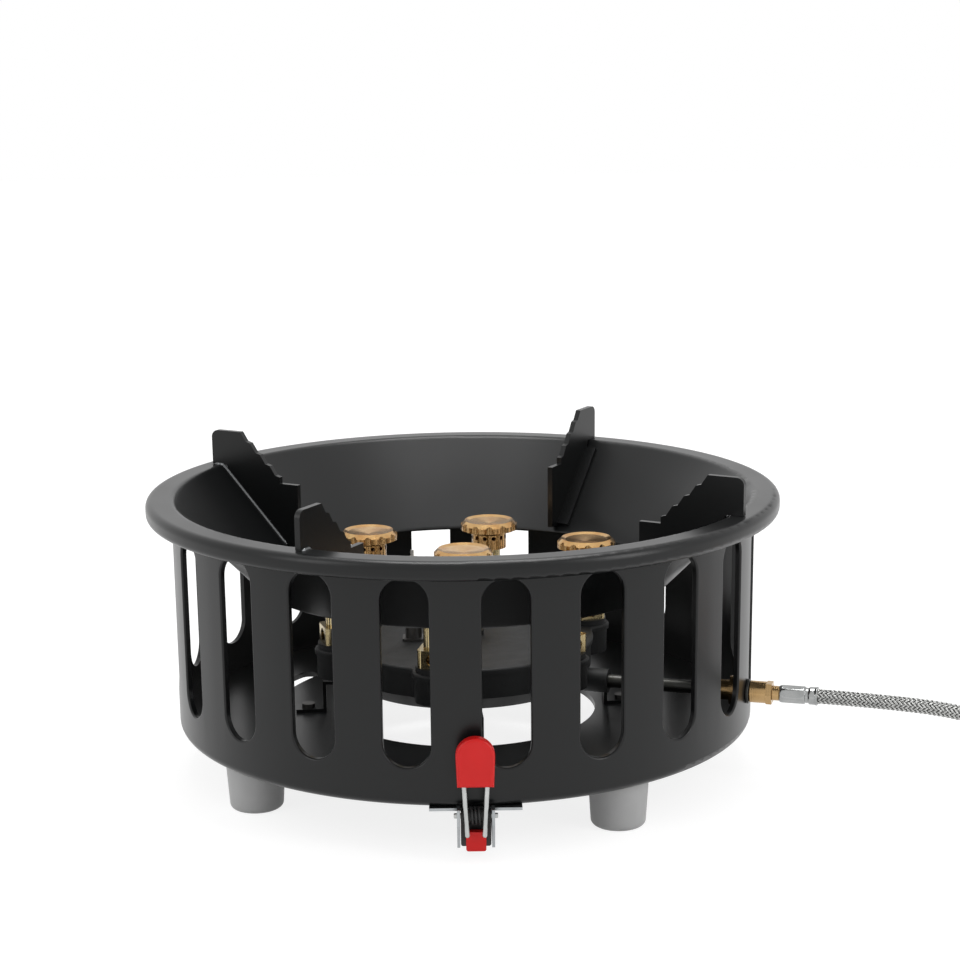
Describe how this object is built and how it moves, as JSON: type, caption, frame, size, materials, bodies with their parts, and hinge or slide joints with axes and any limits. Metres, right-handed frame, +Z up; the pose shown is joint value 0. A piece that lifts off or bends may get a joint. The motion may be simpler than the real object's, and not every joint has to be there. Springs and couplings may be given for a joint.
{
  "type": "camping gas stove",
  "caption": "Round tabletop camping gas stove: slotted wind shell, conical bowl with radial pot supports, brass multi-head burner, lever igniter and a braided hose with a screw-on valve.",
  "frame": {"origin": "On the stove's vertical axis, on the surface that its feet stand on.", "axes": "+Z up, +X to the right as the picture shows it, -Y towards the front with the red lever."},
  "size_m": [0.5325, 0.284, 0.1438],
  "materials": {
    "charcoal_coat": "satin charcoal heat-proof coat",
    "grey_foot": "matte moulded grey",
    "sheet_steel": "zinc-plated sheet",
    "dark_casting": "dark cast metal",
    "brass": "turned brass",
    "bright_steel": "plain steel",
    "polished_steel": "polished steel",
    "steel_braid": "braided stainless wire",
    "red_plastic": "moulded red",
    "cream_ceramic": "glazed ceramic",
    "dark_steel": "blackened steel",
    "black_plastic": "moulded black",
    "black_rubber": "matte black",
    "black_strap": "woven strap"
  },
  "bodies": {
    "stove": {"bracket_screws": "bright_steel", "burner_head_1": "brass", "burner_head_2": "brass", "burner_head_3": "brass", "burner_head_4": "brass", "burner_head_5": "brass", "burner_head_6": "brass", "burner_head_7": "brass", "burner_leg_1": "charcoal_coat", "burner_leg_2": "charcoal_coat", "burner_leg_3": "charcoal_coat", "burner_leg_4": "charcoal_coat", "coil_tie": "black_strap", "electrode_ceramic": "cream_ceramic", "electrode_clip": "bright_steel", "electrode_rod": "bright_steel", "foot_left": "grey_foot", "foot_rear_left": "grey_foot", "foot_rear_right": "grey_foot", "foot_right": "grey_foot", "foot_screws": "bright_steel", "gas_jets": "brass", "gas_manifold": "dark_casting", "hose_coil": "steel_braid", "hose_ferrule": "polished_steel", "hose_nipple": "brass", "hose_nut": "brass", "hose_run": "steel_braid", "igniter_body": "black_plastic", "igniter_bracket": "sheet_steel", "igniter_lead": "black_rubber", "inlet_fitting": "brass", "inlet_locknut": "dark_steel", "inlet_pipe": "dark_steel", "leg_screws": "bright_steel", "lever_pin": "bright_steel", "lever_spring": "dark_steel", "manifold_cover": "dark_casting", "mixing_tube_1": "brass", "mixing_tube_2": "brass", "mixing_tube_3": "brass", "mixing_tube_4": "brass", "mixing_tube_5": "brass", "mixing_tube_6": "brass", "mixing_tube_7": "brass", "pot_support_1": "charcoal_coat", "pot_support_2": "charcoal_coat", "pot_support_3": "charcoal_coat", "pot_support_4": "charcoal_coat", "slotted_shell": "charcoal_coat", "valve_body": "brass", "valve_ferrule": "polished_steel", "valve_seal": "black_rubber", "wind_bowl": "charcoal_coat"},
    "lever": {"lever_bush": "dark_steel", "lever_wire": "bright_steel", "lever_grip": "red_plastic"},
    "button": {"igniter_button": "red_plastic"},
    "knob": {"valve_knob": "red_plastic", "valve_spindle": "bright_steel"}
  },
  "joints": [
    {"name": "lever_press", "type": "hinge", "parent": "stove", "child": "lever", "pos_m": [0.0037, -0.1345, 0.0202], "axis": [1, 0, 0], "range_deg": [0, 18], "stiffness_Nm_per_rad": 0.05},
    {"name": "button_press", "type": "slide", "parent": "stove", "child": "button", "axis": [0, 1, 0], "range_m": [0, 0.00245]},
    {"name": "valve_turn", "type": "hinge", "parent": "stove", "child": "knob", "pos_m": [0.36546, 0.00368, 0.01188], "axis": [0, 1, 0], "range_deg": [0, 360]}
  ],
  "couplings": [
    {"joint": "button_press", "follows": "lever_press", "m_per_rad": 0.00763}
  ]
}
